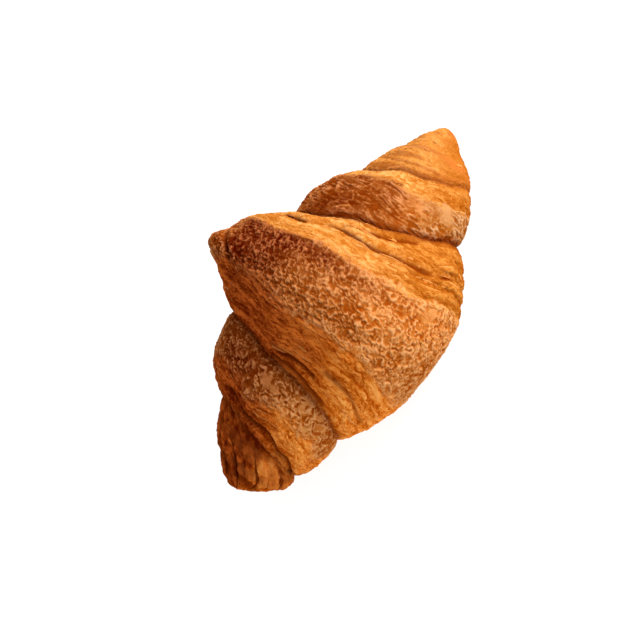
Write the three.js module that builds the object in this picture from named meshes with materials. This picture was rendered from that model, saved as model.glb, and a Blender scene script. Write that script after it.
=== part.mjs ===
// A butter croissant: one triangle of laminated dough, rolled up from its wide side into a spindle,
// bent a little and baked on a flat tray.
//
// Every turn of the roll is narrower than the one under it, so the surface steps down from the middle
// to the two tips. Each step has a smooth baked crust, then a sloping cut face where the layers of
// dough show as folds, then a crease where it meets the crust of the turn below. The roll ends in a
// tongue, the point of the triangle, which comes over the top and lies on the back.
//
// Units are millimetres. +X runs along the roll, -Y is the front with the outside of the bend, +Z is up.
// The origin is the middle of the flat base, under the middle of the croissant's own box.
import * as THREE from "three";

// The whole roll
const HALF_LENGTH = 67;
const DEPTH_RATIO = 1.13; // front to back, against the roll's radius
const HEIGHT_RATIO = 0.88;
const BOW = { left: 6.3, right: 10.6 }; // how far each tip bends to the back
const BOW_POWER = 1.8;
const TIP_LIFT = { height: 1, power: 4 };
const TIP_LEAN = { rate: 0.4, power: 6 }; // a tip's end face leans out at its top
const TIP_BLUNTNESS = { left: 7.9, right: 7.5 };
const MIDDLE_ROUNDING = 1;
const SIDE_BLEND = 5; // how softly the left half's sizes change to the right half's

// The inner roll, which the turns lie on
const CORE_RADIUS = { middle: 27, left: 3.8, right: 1.8 };
const CORE_ROUNDING = 0.2;

// The turns of dough
const TURNS = 5;
const LAYER = 6; // how far one turn stands above the next, at the middle
const LAYER_LEAST = 0.15; // the share of it that is left at the tips
const PUFF = 1.45;
const CREASE = { depth: 2.3, cutReach: 2.2, crustReach: 5 };
const RUN_IN = 8; // how far out an edge is before its crease is at full depth
const PITCH = { left: 32, right: 27.5 }; // how far a crust's edge moves out in one turn
const SWING = { left: 0.95, right: 1 };
const STEADY_TURN = { left: 0.55, right: 0.42 }; // where round the roll the edge runs straight
const CUT_WIDTH = { left: 19.5, right: 17 };
const CUT_SWING = { left: 3.8, right: 6.5 };
const CUT_WIDEST_TURN = 0.12;
const CUT_LIMIT = 62;
const CUT_LEAST = 0.22;
const CUT_ROUNDNESS = 1.3;
const KNEE = { start: 40, reach: 30, length: 45 }; // past its start the turns crowd together

// The tongue, the last point of the dough
const TONGUE = { turn: 0.79, bluntness: 3, rounding: 0.05 };

// Relief: waves are counted for one turn of the roll
const EDGE_WAVES = [
  { count: 5, height: 0.6, shift: 0 },
  { count: 9, height: 0.36, shift: 1 },
];
const FOLD_WAVES = [
  { count: 1.5, height: 0.9, shift: 1 },
  { count: 3, height: 0.45, shift: 0 },
];
const FOLDS = { height: 0.9, width: 4.2, roundness: 0.7 };
const PETALS = { height: 1.2, count: 9, roundness: 0.6, start: 46, rise: 10, slant: 0.0103 };
const RIB_MIDDLE = 0.6;
const LUMPS = { height: 0.6, length: 9, twist: 2.1, longLength: 13, longTwist: 1.7 };

// Swellings, each at a place along the roll and a turn round it
const SWELLINGS = [
  { name: "nose", height: 5.5, at: -4.5, length: 6.5, turn: 0.615, spread: 0.06 },
  { name: "left heel", height: 3.4, at: -56, length: 7, turn: 0.24, spread: 0.1 },
  { name: "right heel", height: 2.3, at: 50, length: 6, turn: 0.2, spread: 0.1 },
  { name: "left shoulder", height: 2.2, at: -37, length: 8, turn: 0.62, spread: 0.1 },
  { name: "right notch", height: -2.5, at: 21, length: 5, turn: 0.62, spread: 0.07 },
];

// The base
const LOW = { radius: 34.3, slope: 0.375, rounding: 10 };
const SINK = { depth: 3.8, power: 1.5 }; // how far the tray flattens the middle
const BASE_ROUNDING = 2;

// The grid of facets
const ROUND_STEPS = 48;
const LENGTH_STEPS = 120;
const TIP_CROWDING = 0.35; // how much closer together the steps are at the tips

const FULL_TURN = 2 * Math.PI;

const clamp = THREE.MathUtils.clamp;
const ease = (share) => THREE.MathUtils.smoothstep(share, 0, 1);
const between = (pair, side) => pair.left + (pair.right - pair.left) * side;

// 0 on the left half and 1 on the right half.
const sideOf = (along) => 0.5 + 0.5 * Math.tanh(along / SIDE_BLEND);

function ripple(waves, turn) {
  let height = 0;
  for (const wave of waves) {
    height += wave.height * Math.sin(FULL_TURN * wave.count * turn + wave.shift);
  }
  return height;
}

// A row of round ribs, one for each whole step of place, with sharp valleys between them.
function rib(place, roundness) {
  return Math.abs(Math.sin(Math.PI * place)) ** roundness - RIB_MIDDLE;
}

// The turns are evenly spaced as far as the knee, and closer and closer after it.
function crowd(length) {
  const past = Math.max(length - KNEE.start, 0);
  return Math.min(length, KNEE.start) + KNEE.reach * (1 - Math.exp(-past / KNEE.length));
}

// Distance from the middle of the roll to the edge of the crust. The turn is counted from the base at
// the front: the outermost layer runs from 0 to the tongue's end, and each layer below has one less.
function crustEdge(turn, side) {
  const steady = between(STEADY_TURN, side);
  const wave = (at) => Math.sin(FULL_TURN * (at - steady));
  const swing = (between(SWING, side) / FULL_TURN) * (wave(turn) - wave(TONGUE.turn));
  const past = clamp((turn - TONGUE.turn) / TONGUE.rounding, -30, 5);
  const point = TONGUE.bluntness * (1 - Math.exp(past));
  const length = between(PITCH, side) * (TONGUE.turn - turn + swing) + point;
  return crowd(length) + ripple(EDGE_WAVES, turn);
}

function cutWidth(turn, side, edge) {
  const widest = Math.cos(FULL_TURN * (turn - CUT_WIDEST_TURN));
  const width = between(CUT_WIDTH, side) + between(CUT_SWING, side) * widest;
  return width * clamp(1 - Math.max(edge, 0) / CUT_LIMIT, CUT_LEAST, 1);
}

// The folded layers of dough on a cut face, which run along its edge.
function folds(depth, width, turn) {
  const share = clamp(depth / width, 0, 1);
  const height = FOLDS.height * Math.sin(Math.PI * share) ** FOLDS.roundness;
  return height * rib((depth + ripple(FOLD_WAVES, turn)) / FOLDS.width, FOLDS.roundness);
}

// The folds at the left tip, which fan out to its end.
function petals(along, angle) {
  const out = -along - PETALS.start;
  const height = PETALS.height * ease(out / PETALS.rise);
  const place = PETALS.count * (angle / FULL_TURN + PETALS.slant * out);
  return height * rib(place, PETALS.roundness);
}

function lumps(along, angle) {
  const short = Math.sin(along / LUMPS.length + LUMPS.twist * Math.sin(angle));
  const long = Math.sin(along / LUMPS.longLength - LUMPS.longTwist * Math.cos(2 * angle));
  return (LUMPS.height * (short + long)) / 2;
}

function swellings(along, angle) {
  let height = 0;
  for (const swelling of SWELLINGS) {
    const lengthwise = (along - swelling.at) / swelling.length;
    const round = (angle / FULL_TURN - swelling.turn) / swelling.spread;
    height += swelling.height * Math.exp(-(lengthwise ** 2) - round ** 2);
  }
  return height;
}

function coreRadius(along, side) {
  const share = Math.abs(along) / HALF_LENGTH;
  const rounded = Math.hypot(share, CORE_ROUNDING) - CORE_ROUNDING;
  const end = between(CORE_RADIUS, side);
  return end + (CORE_RADIUS.middle - end) * (1 - clamp(rounded, 0, 1));
}

// The roll's radius at a place along it and an angle round it. The angle starts at the base and runs
// up the front, over the top and down the back.
function rollRadius(along, angle) {
  const side = sideOf(along);
  const out = Math.hypot(along, MIDDLE_ROUNDING) - MIDDLE_ROUNDING;
  let radius = coreRadius(along, side) + swellings(along, angle);
  radius += lumps(along, angle) + petals(along, angle);
  let foot = 0;
  for (let layer = 0; layer < TURNS; layer += 1) {
    const turn = angle / FULL_TURN - layer;
    const edge = crustEdge(turn, side);
    const width = cutWidth(turn, side, edge);
    const depth = out - edge;
    const share = clamp(1 - Math.max(edge, 0) / HALF_LENGTH, LAYER_LEAST, 1);
    radius += LAYER * share * (1 - clamp(depth / width, 0, 1) ** CUT_ROUNDNESS);
    radius += share * folds(depth, width, turn);
    if (layer > 0) {
      const across = clamp((out - foot) / Math.max(edge - foot, 1), 0, 1);
      const room = ease((edge - foot) / RUN_IN);
      radius += PUFF * share ** 2 * room * Math.sin(Math.PI * across);
    }
    foot = Math.max(edge + width, 0);
    const fromCrease = depth - width;
    const reach = fromCrease < 0 ? CREASE.cutReach : CREASE.crustReach;
    const shown = share * ease((edge + RUN_IN) / RUN_IN);
    radius -= CREASE.depth * shown * Math.exp(-Math.abs(fromCrease) / reach);
  }
  const reached = clamp(Math.abs(along) / HALF_LENGTH, 0, 1);
  return radius * Math.sqrt(1 - reached ** between(TIP_BLUNTNESS, side));
}

// Presses what is below the tray's level flat, with a round change at its rim.
function pressFlat(height) {
  if (height > BASE_ROUNDING) return height;
  if (height < -BASE_ROUNDING) return 0;
  return (height + BASE_ROUNDING) ** 2 / (4 * BASE_ROUNDING);
}

// The height of the roll's own axis above the tray.
function axisHeight(along, share) {
  const low = LOW.radius - LOW.slope * (Math.hypot(along, LOW.rounding) - LOW.rounding);
  const sunk = SINK.depth * (1 - share ** SINK.power);
  return HEIGHT_RATIO * low - sunk + TIP_LIFT.height * share ** TIP_LIFT.power;
}

// The point of the surface at a place along the bent roll and an angle round it.
function surfacePoint(along, angle) {
  const share = Math.abs(along) / HALF_LENGTH;
  const end = Math.sign(along);
  const radius = rollRadius(along, angle);
  const bow = between(BOW, sideOf(along));
  const slope = (end * bow * BOW_POWER * share ** (BOW_POWER - 1)) / HALF_LENGTH;
  const squareOn = 1 / Math.hypot(1, slope);
  const outward = -DEPTH_RATIO * radius * Math.sin(angle);
  const upward = -HEIGHT_RATIO * radius * Math.cos(angle);
  const lean = end * TIP_LEAN.rate * share ** TIP_LEAN.power * upward;
  return new THREE.Vector3(
    along - outward * slope * squareOn + lean,
    bow * share ** BOW_POWER + outward * squareOn,
    pressFlat(axisHeight(along, share) + upward),
  );
}

// A sphere's grid, with its poles at the two tips, is laid over the surface.
function croissantGeometry() {
  const geometry = new THREE.SphereGeometry(1, ROUND_STEPS, LENGTH_STEPS);
  const place = geometry.getAttribute("position");
  const grid = geometry.getAttribute("uv");
  for (let i = 0; i < place.count; i += 1) {
    const even = 1 - 2 * grid.getY(i);
    const crowded = Math.sin((even * Math.PI) / 2);
    const along = HALF_LENGTH * THREE.MathUtils.lerp(even, crowded, TIP_CROWDING);
    const point = surfacePoint(along, FULL_TURN * (grid.getX(i) % 1));
    place.setXYZ(i, point.x, point.y, point.z);
  }
  geometry.computeBoundingBox();
  const middle = geometry.boundingBox.getCenter(new THREE.Vector3());
  geometry.translate(-middle.x, -middle.y, -geometry.boundingBox.min.z);
  geometry.computeVertexNormals();
  return geometry;
}

const crust = new THREE.MeshStandardMaterial({
  name: "baked_crust",
  color: new THREE.Color(0.62, 0.32, 0.12),
  roughness: 0.55,
  metalness: 0,
});

const croissant = new THREE.Mesh(croissantGeometry(), crust);
croissant.name = "croissant";

const part = new THREE.Group();
part.add(croissant);

export default part;
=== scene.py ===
"""Looks of a baked butter croissant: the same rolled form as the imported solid, with the crust's
wrinkles, the threads of the cut layers, the browning and the flakes that are finer than the solid's
facets. Sizes are in millimetres. A turn is a share of the way round the roll: 0 is below, 0.25 the
front, 0.5 the top and 0.75 the back, and each layer further in is one turn less."""
import math

import bmesh
import bpy
import numpy as np
from mathutils import Matrix, Vector


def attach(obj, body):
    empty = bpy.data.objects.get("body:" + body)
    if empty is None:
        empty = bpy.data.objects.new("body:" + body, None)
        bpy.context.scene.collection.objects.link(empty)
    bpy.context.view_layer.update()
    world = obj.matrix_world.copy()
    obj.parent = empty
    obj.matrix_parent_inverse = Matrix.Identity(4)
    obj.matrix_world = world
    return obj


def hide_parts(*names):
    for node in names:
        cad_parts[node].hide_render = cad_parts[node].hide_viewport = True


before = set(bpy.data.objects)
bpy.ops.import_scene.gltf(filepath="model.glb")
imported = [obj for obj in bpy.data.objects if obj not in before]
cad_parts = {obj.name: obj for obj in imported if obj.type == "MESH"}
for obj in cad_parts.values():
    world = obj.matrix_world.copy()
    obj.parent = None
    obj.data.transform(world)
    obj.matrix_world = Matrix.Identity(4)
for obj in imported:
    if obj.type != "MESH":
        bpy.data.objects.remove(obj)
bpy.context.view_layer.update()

MM = 0.001
TURN = 2 * math.pi

# The noise's hash: any large odd numbers do
HASH_STEPS = (374761393, 668265263, 1440662683)
HASH_SEED_STEP = 974634777
HASH_FACTORS = (1274126177, 2246822519)
WORD, HALF_WORD = 0xFFFFFFFF, 0xFFFF
NOISE_REACH = 1.5
LINE_PLACE = (0.37, 0.61)  # where noise along a line is taken from the noise in space

# The roll, with the solid's own sizes
HALF_LENGTH = 67.0
DEPTH_RATIO = 1.13
HEIGHT_RATIO = 0.88
BOW = (6.3, 10.6)  # pairs are for the left and the right half
BOW_POWER = 1.8
TIP_LIFT, TIP_LIFT_POWER = 1.0, 4
TIP_LEAN, TIP_LEAN_POWER = 0.4, 6
TIP_BLUNTNESS = (7.9, 7.5)
MIDDLE_ROUNDING = 1.0
SIDE_BLEND = 5.0
CORE_MIDDLE = 27.0
CORE_TIP = (3.8, 1.8)
CORE_ROUNDING = 0.2
TURNS = 5
LAYER, LAYER_LEAST = 6.0, 0.15
PUFF = 1.45
CREASE_DEPTH, CREASE_CUT_REACH, CREASE_CRUST_REACH = 2.3, 2.2, 5.0
RUN_IN = 8.0
PITCH = (32.0, 27.5)
SWING = (0.95, 1.0)
STEADY_TURN = (0.55, 0.42)
CUT_WIDTH = (19.5, 17.0)
CUT_SWING = (3.8, 6.5)
CUT_WIDEST_TURN = 0.12
CUT_LIMIT, CUT_LEAST = 62.0, 0.22
CUT_ROUNDNESS = 1.3
KNEE, KNEE_REACH, KNEE_LENGTH = 40.0, 30.0, 45.0
TONGUE_TURN, TONGUE_BLUNTNESS, TONGUE_ROUNDING = 0.79, 3.0, 0.05
TONGUE_LIMITS = (-30, 5)  # keep the exponential small
EDGE_WAVES = ((5, 0.6, 0.0), (9, 0.36, 1.0))  # count in one turn, height, shift
FOLD_WAVES = ((1.5, 0.9, 1.0), (3, 0.45, 0.0))
FOLD_HEIGHT, FOLD_WIDTH, FOLD_ROUNDNESS = 0.9, 4.2, 0.7
PETAL_HEIGHT, PETAL_COUNT, PETAL_ROUNDNESS = 1.2, 9, 0.6
PETAL_START, PETAL_RISE, PETAL_SLANT = 46.0, 10.0, 0.0103
PETAL_SWAY, PETAL_SWAY_LENGTH, PETAL_SWAY_ROUND = 0.06, 7, 4
RIB_MIDDLE = 0.6
LUMP_HEIGHT, LUMP_LENGTH, LUMP_TWIST = 0.6, 9.0, 2.1
LUMP_LONG_LENGTH, LUMP_LONG_TWIST = 13.0, 1.7
SWELLINGS = (  # height, place along the roll, length, turn, spread
    (5.5, -4.5, 6.5, 0.615, 0.06),
    (3.4, -56.0, 7.0, 0.24, 0.1),
    (2.3, 50.0, 6.0, 0.2, 0.1),
    (2.2, -37.0, 8.0, 0.62, 0.1),
    (-2.5, 21.0, 5.0, 0.62, 0.07),
)
LOW_RADIUS, LOW_SLOPE, LOW_ROUNDING = 34.3, 0.375, 10.0
SINK, SINK_POWER = 3.8, 1.5
BASE_ROUNDING = 2.0

# The fine mesh
LENGTH_STEPS = 560
ROUND_STEPS = 480
TIP_CROWDING = 0.35
ROUND_LENGTH = 150.0  # one turn's length round the middle, for the streaks
LYING_BLEND = 3.0  # the relief fades out this far above the floor

# Where crust turns into a cut face
RAGGED_HEIGHT = (1.8, 2.0)
RAGGED_WAVES = ((7, 2, 5), (2.2, 4, 6))  # length, one over the height, seed
EDGE_BLUR = (2.4, 0.6)  # half the width over which crust turns into a cut face
CUT_START = (3.2, 0.0)  # how far before the edges of the outer turns the cut faces start
CUT_END, CUT_END_BLEND = 0.4, 0.8  # how far past the crease they end
MOTTLE_SIZE, MOTTLE_SIZES, MOTTLE_REACH = 1.6, (1, 3, 6), (1.9, 0.8)
KNOB_CRUST = (8.0, -4.5, 3.5, 0.597, 0.03)  # how far the crust reaches over the knob, and where
LIP_HEIGHT, LIP_WIDTH, LIP_END = 0.5, 0.8, 0.3
LIP_LEAST, LIP_CHANGE, LIP_LENGTH = 0.6, 0.8, 5
SLIT_DEPTH, SLIT_REACH = 0.9, 0.7  # a narrow slit along each crease
CREASE_FADE = 0.6

# The crust's fine relief
BLISTER_HEIGHT, BLISTER_SIZE = 0.35, 6.0
FILM_SIZE, FILM_HEIGHT, FILM_STEP = 1.8, 0.2, 0.45  # the thin pale skin, in ragged patches
FILM_SHARE, FILM_BROWNED, FILM_MIDDLE = 0.14, 0.3, 0.6
FILM_SLOW, FILM_SLOW_SIZE = 0.4, 9
FILM_WARP, FILM_WARP_SIZE, FILM_DETAIL = 0.6, 2.4, 0.5
RIM_HEIGHT, RIM_PLACE = 0.1, 0.2
CURL_LINE_SIZE, CURL_LINE_WIDTH, CURL_LINE_HEIGHT = 1.5, 0.26, 0.36  # fine curled wrinkles
CURL_LINE_WARP, CURL_LINE_MIDDLE, CURL_ON_CUT = 0.7, 0.3, 0.25
LAID_LENGTH, LAID_WIDTH, LAID_SLANT, LAID_SHARE = 4.2, 0.9, -0.15, 0.7  # the slanted wrinkles
LAID_PLANE = 0.4  # which plane of the noise they are taken from
LAID_CURL = 0.65  # the share of their height that these keep, on the right half's outer turns
OUTER_BLEND = 0.1  # the outer turns start over this part of a turn
BARE_EDGE, BARE_RAGGED, BARE_BLEND = 1.2, 1.1, 1.6
BARE_CURL, BARE_PALENESS = 0.2, 0.7
BARE_PATCHES = (  # smooth pale places: place along the roll, length, turn, spread
    (9.0, 3.2, 0.262, 0.018),
    (34.0, 4.6, 0.358, 0.04),
    (36.5, 3.4, 0.30, 0.03),
    (-34.5, 3.0, 0.30, 0.035),
    (-29.5, 2.4, 0.345, 0.03),
    (-30.5, 1.8, 0.42, 0.02),
)

# The cut faces' fine relief
STREAKS = ((7.0, 1.3, 0.18), (3.2, 0.7, 0.22), (1.6, 0.5, 0.2))  # length, width, height
STREAK_WANDER, STREAK_WANDER_LENGTH, STREAK_SLIDE = 0.9, 22, 0.01
CURL_SIZE, CURL_REACH = 2.6, 1.0
SHEETS = ((4.2, 0.2), (1.6, 0.14))  # thickness of a sheet of dough, height of its lip
SHEET_WAVE, SHEET_WAVE_LENGTH, SHEET_WAVE_DEPTH, SHEET_SLIDE = 0.9, 13, 6, 0.02
SHEET_ROUNDNESS, SHEET_DROP, SHEET_MIDDLE = 1.5, 0.16, 0.35
CRUMB_HEIGHT, CRUMB_SIZE = 0.14, 1.0
TIP_SKIN_TURN, TIP_SKIN_BLEND = -0.95, 0.25  # from here on the crust is streaked, not wrinkled
FOLD_LINES = (  # half, turn and depth where it starts, turn and depth where it ends, drop, width
    (1, 0.60, 5.4, 0.20, 8.4, 1.2, 0.75),
    (1, 0.46, 7.0, 0.31, 15.5, 1.0, 0.7),
    (0, -0.44, 1.6, -0.82, 7.8, 1.8, 0.9),
    (0, 0.46, 14.0, 0.30, 17.3, 0.9, 0.75),
    (0, 0.46, 11.6, 0.35, 13.2, 0.8, 0.6),
    (0, 0.37, 9.6, 0.21, 10.8, 0.5, 1.2),
)
SHARP_FOLD = 0.8  # the fold lines wider than this get weaker painted shade
FOLD_LINE_END = 0.15
FOLD_LINE_SWAY, FOLD_LINE_SWAY_LENGTH = 0.9, 9
FOLD_LINE_BREAKS, FOLD_LINE_BREAK_LENGTH, FOLD_LINE_WHOLE = 1.4, 8, 0.9  # on the right half only
BANK_HEIGHT, BANK_PLACE, BANK_WIDTH = 0.45, 2.4, 1.6  # the raised side of a fold line
NOSE_GAP = (-9.0, 4.0, 0.56, 0.07, 0.007, 1.4)  # from, to, turn, bend, spread, depth
NOSE_GAP_END = 0.2

# The fan of folds at the left tip
FAN_START, FAN_SLOPE = -42.4, 34.0  # where the layers turn lengthwise, and how that slants
FAN_TURNS, FAN_BLEND = (-0.1, 0.45), 1.2
FAN_CIRCUMFERENCE = 90.0
FAN_STREAKS = 0.5  # the share of the cut faces' streaks that is left out there
FAN_RIDGES, FAN_RIDGE_PLANE = (12.0, 2.4, 0.8), 0.3  # length, width, height; plane of the noise
FAN_STEP_SIZE, FAN_STEP_HEIGHT, FAN_STEP_EDGE = (6.0, 2.6, 2.6), 0.55, 3  # torn ends of sheets
PETAL_GROOVE, PETAL_GROOVE_EDGE = 0.7, 4
SMALL_PETAL_GROOVE, SMALL_PETAL_GROOVE_EDGE, SMALL_PETAL_SWAY = 0.7, 6, 0.3
SMALL_PETAL_SWAY_LENGTH = 4

# The browning, from 0 to 1
TOP_BROWNING, LEFT_BROWNING, TOP_REACH, TOP_BLEND, TOP_POWER = 0.62, 0.1, 0.1, 1.15, 2.2
LEFT_START, LEFT_BLEND = 4, 12
TIP_BROWNING, TIP_START, TIP_BLEND = 0.27, 42, 8  # more towards the left tip
BROWNED_PLACES = (  # how much more, place along the roll, length, turn, spread
    (0.5, 2.0, 15.0, 0.53, 0.055),
    (0.16, 28.0, 9.0, 0.51, 0.08),
    (0.14, -29.5, 4.0, 0.49, 0.05),
    (0.06, 35.0, 8.0, 0.32, 0.08),
    (-0.5, -52.5, 3.2, 0.345, 0.022),
    (-0.2, -34.0, 6.0, 0.36, 0.07),
    (0.18, -3.0, 6.0, 0.62, 0.03),
    (-0.05, 0.0, 8.0, 0.455, 0.05),
    (-0.2, -56.0, 8.0, 0.42, 0.1),
)
# How much more along the right half's edge, how far out, width, from which turn, blend
EDGE_BROWNING = (0.3, -3.2, 2.4, 0.3, 0.08)
DEEP_CUT = (-0.35, 8.5, 4.0)  # how much more deep in the right half's cut faces, from where, blend
CALM_START, CALM_BLEND = 42, 8  # from here on the right tip is more even

# The flakes
FLAKE_ROWS = (  # half, how many, share behind the edge, places out from the edge, lift
    (1, 170, 0.6, (-0.6, 0.3), 0.35),
    (1, 90, 0.3, (2.0, 15.0), 0.5),
    (0, 60, 0.6, (-1.5, 1.5), 0.4),
    (0, 120, 0.3, (2.0, 17.0), 0.6),
)
FLAKE_TURNS = (-1.6, 0.75)
FLAKE_LENGTH, FLAKE_WIDTH = (1.2, 4.6), (0.5, 1.3)
FLAKE_STEPS = (9, 5)
FLAKE_THICKNESS, FLAKE_SINK, FLAKE_LOWEST = 0.12, -0.15, 7.0
FLAKE_RAGGED = (0.75, 0.25)  # the least share of its width, and how much that changes
FLAKE_RAGGED_COUNT, FLAKE_RAGGED_TURN = 2.2, 9.0
FLAKE_POINT, FLAKE_CURVE = 0.97, 1.5
FLAKE_NEAREST, FLAKE_FAN_LIMIT = 0.5, 0.3  # least distance from the middle, and most share of fan
NORMAL_STEP = 0.3

# Colours as they look on screen, from 0 to 255: where the browning is 0, and where it is 1
CRUST_DARK = ((160, 72, 8), (74, 8, 0))
CRUST_WARM = ((186, 86, 12), (106, 33, 3))
CRUST_MIDDLE = ((186, 102, 34), (103, 38, 8))
CRUST_TAN = ((212, 138, 74), (150, 80, 44))
# painted highlight on the rims of the thin skin
CRUST_RIM_HIGHLIGHT = ((238, 178, 120), (190, 110, 62))
# the crust's raised edge: partly its paler flaking skin, partly a painted highlight
CRUST_EDGE_PALE_AND_HIGHLIGHT = ((238, 176, 108), (186, 106, 54))
LEFT_CUT_DARK = ((184, 82, 6), (98, 26, 4))
LEFT_CUT_MIDDLE = ((230, 128, 40), (142, 57, 12))
LEFT_CUT_LIGHT = ((252, 170, 84), (188, 90, 32))
RIGHT_CUT_DARK = ((150, 74, 10), (174, 94, 24))
RIGHT_CUT_MIDDLE = ((176, 98, 28), (201, 128, 56))
RIGHT_CUT_LIGHT = ((202, 128, 54), (222, 160, 92))
TIP_STRIPE = ((202, 112, 48), (96, 30, 2))
# painted shade: the creases and grooves are darkened towards this colour
CREASE_SHADE_COLOUR = ((126, 48, 4), (66, 12, 0))
FLAKE_ROOT = ((200, 110, 36), (110, 38, 4))
LEFT_FLAKE = ((232, 146, 66), (146, 66, 20))
RIGHT_FLAKE = ((222, 150, 76), (172, 94, 40))
BEIGE_TINT = (0.82, 0.95, 1.2, 1.0)  # on the pale crust of the right half's outer turns
RED_TINT = (0.98, 0.84, 0.6, 1.0)  # on the left half's cut faces where they are half browned
RED_TINT_REACH = 6.75  # brings the greatest value of x * x * (1 - x) to 1
UNEVEN_BROWNING, UNEVEN_FLAKES = 0.6, 0.8
LEFT_CUT_BROWNING, RIGHT_CUT_BROWNING = 1.45, 2.0  # how much more the cut faces are browned
SMALL_WEIGHT, SLOW_WEIGHT, CURL_WEIGHT, LEFT_FILM_WEIGHT = 0.16, 0.8, 0.52, 0.15
# the last weight is painted light and shade: the cut faces lighter on their raised relief and darker in its
# hollows
BAND_WEIGHT, THREAD_WEIGHT, CRUMB_WEIGHT, STREAK_SHADING_WEIGHT = 0.34, 0.54, 0.12, 0.25
# Sizes along the crust's edge, out from it and along the roll
BAND_SIZE, THREAD_SIZE = (18.0, 2.2, 60.0), (3.4, 0.4, 30.0)
DASH_SIZE, STRIPE_SIZE = (2.6, 0.36, 30.0), (30.0, 60.0, 2.2)
BUMP_STRENGTH, BUMP_HEIGHT, BUMP_GRAIN = 0.6, 0.3, 0.4


def mixed(pair, side):
    return pair[0] + (pair[1] - pair[0]) * side


def ease(share):
    share = np.clip(share, 0, 1)
    return share * share * (3 - 2 * share)


def corner_push(corner, offset, seed):
    """One grid corner's share of the noise: its own random slope times the offset from it."""
    whole = corner.astype(np.int64)
    mixed_up = sum(whole[..., i] * step for i, step in enumerate(HASH_STEPS)) + seed * HASH_SEED_STEP
    mixed_up = (mixed_up ^ (mixed_up >> 13)) * HASH_FACTORS[0] & WORD
    mixed_up = (mixed_up ^ (mixed_up >> 16)) * HASH_FACTORS[1] & WORD
    round_angle = (mixed_up & HALF_WORD) / HALF_WORD * TURN
    level = (mixed_up >> 16) / HALF_WORD * 2 - 1
    flat = np.sqrt(1 - level * level)
    push = flat * (np.cos(round_angle) * offset[..., 0] + np.sin(round_angle) * offset[..., 1])
    return push + level * offset[..., 2]


def noise(place, seed):
    """Smooth noise from about -1 to 1, with features about one unit apart, new for each seed."""
    base = np.floor(place)
    part = place - base
    weight = part ** 3 * (part * (part * 6 - 15) + 10)
    total = 0.0
    for dx in (0, 1):
        for dy in (0, 1):
            for dz in (0, 1):
                step = np.array((dx, dy, dz))
                near = np.where(step, weight, 1 - weight).prod(-1)
                total = total + near * corner_push(base + step, part - step, seed)
    return total * NOISE_REACH


def rough(place, seed, octaves):
    """Noise with finer noise on it, half as high and half as wide each time."""
    total = 0.0
    for octave in range(octaves):
        total = total + noise(place * 2 ** octave, seed + octave) / 2 ** octave
    return total


def ripple(waves, turn):
    return sum(height * np.sin(TURN * count * turn + shift) for count, height, shift in waves)


def rib(place, roundness):
    """A row of round ribs with sharp valleys between them."""
    return np.abs(np.sin(math.pi * place)) ** roundness - RIB_MIDDLE


def on_line(x, seed):
    """Noise along a line."""
    return noise(np.stack([x] + [np.full_like(x, at) for at in LINE_PLACE], -1), seed)


def crowd(length):
    """Draws the turns closer together towards the tips."""
    past = np.maximum(length - KNEE, 0)
    return np.minimum(length, KNEE) + KNEE_REACH * (1 - np.exp(-past / KNEE_LENGTH))


def crust_edge(turn, side):
    """How far from the middle the rolled sheet's edge lies at each turn."""
    steady = mixed(STEADY_TURN, side)
    swing = np.sin(TURN * (turn - steady)) - np.sin(TURN * (TONGUE_TURN - steady))
    past = np.clip((turn - TONGUE_TURN) / TONGUE_ROUNDING, *TONGUE_LIMITS)
    point = TONGUE_BLUNTNESS * (1 - np.exp(past))
    rolled = TONGUE_TURN - turn + mixed(SWING, side) / TURN * swing
    return crowd(mixed(PITCH, side) * rolled + point) + ripple(EDGE_WAVES, turn)


def cut_width(turn, side, edge):
    """How wide the cut face beside the edge is."""
    widest = np.cos(TURN * (turn - CUT_WIDEST_TURN))
    width = mixed(CUT_WIDTH, side) + mixed(CUT_SWING, side) * widest
    return width * np.clip(1 - np.maximum(edge, 0) / CUT_LIMIT, CUT_LEAST, 1)


def folds(depth, width, turn):
    """The broad folds along a cut face."""
    share = np.clip(depth / width, 0, 1)
    height = FOLD_HEIGHT * np.sin(math.pi * share) ** FOLD_ROUNDNESS
    return height * rib((depth + ripple(FOLD_WAVES, turn)) / FOLD_WIDTH, FOLD_ROUNDNESS)


def petal_place(along, angle):
    """Counts the petals of the left tip: a whole number at each valley."""
    place = [along / PETAL_SWAY_LENGTH, PETAL_SWAY_ROUND * np.cos(angle), PETAL_SWAY_ROUND * np.sin(angle)]
    sway = noise(np.stack(place, -1), 72)
    return PETAL_COUNT * (angle / TURN + PETAL_SLANT * (-along - PETAL_START)) + PETAL_SWAY * sway


def petals(along, angle):
    out = -along - PETAL_START
    return PETAL_HEIGHT * ease(out / PETAL_RISE) * rib(petal_place(along, angle), PETAL_ROUNDNESS)


def lumps(along, angle):
    short = np.sin(along / LUMP_LENGTH + LUMP_TWIST * np.sin(angle))
    long = np.sin(along / LUMP_LONG_LENGTH - LUMP_LONG_TWIST * np.cos(2 * angle))
    return LUMP_HEIGHT * (short + long) / 2


def bump_at(along, angle, height, at, length, turn, spread):
    off = ((along - at) / length) ** 2 + ((angle / TURN - turn) / spread) ** 2
    return height * np.exp(-off)


def swellings(along, angle):
    return sum(bump_at(along, angle, *swelling) for swelling in SWELLINGS)


def core_radius(along, side):
    rounded = np.hypot(np.abs(along) / HALF_LENGTH, CORE_ROUNDING) - CORE_ROUNDING
    tip = mixed(CORE_TIP, side)
    return tip + (CORE_MIDDLE - tip) * (1 - np.clip(rounded, 0, 1))


def mottle(along, angle):
    """Blotches on a round bar of about the roll's size, which break up the crust's edge."""
    place = np.stack([along, CORE_MIDDLE * np.cos(angle), CORE_MIDDLE * np.sin(angle)], -1)
    return sum(noise(place / (size * MOTTLE_SIZE), 40 + size) for size in MOTTLE_SIZES)


def fan_share(along, angle):
    """1 on the left tip, where the layers of dough run lengthwise."""
    start = FAN_START - FAN_SLOPE * np.clip(0.5 - angle / TURN, *FAN_TURNS)
    return ease((start - along) / FAN_BLEND)


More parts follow.
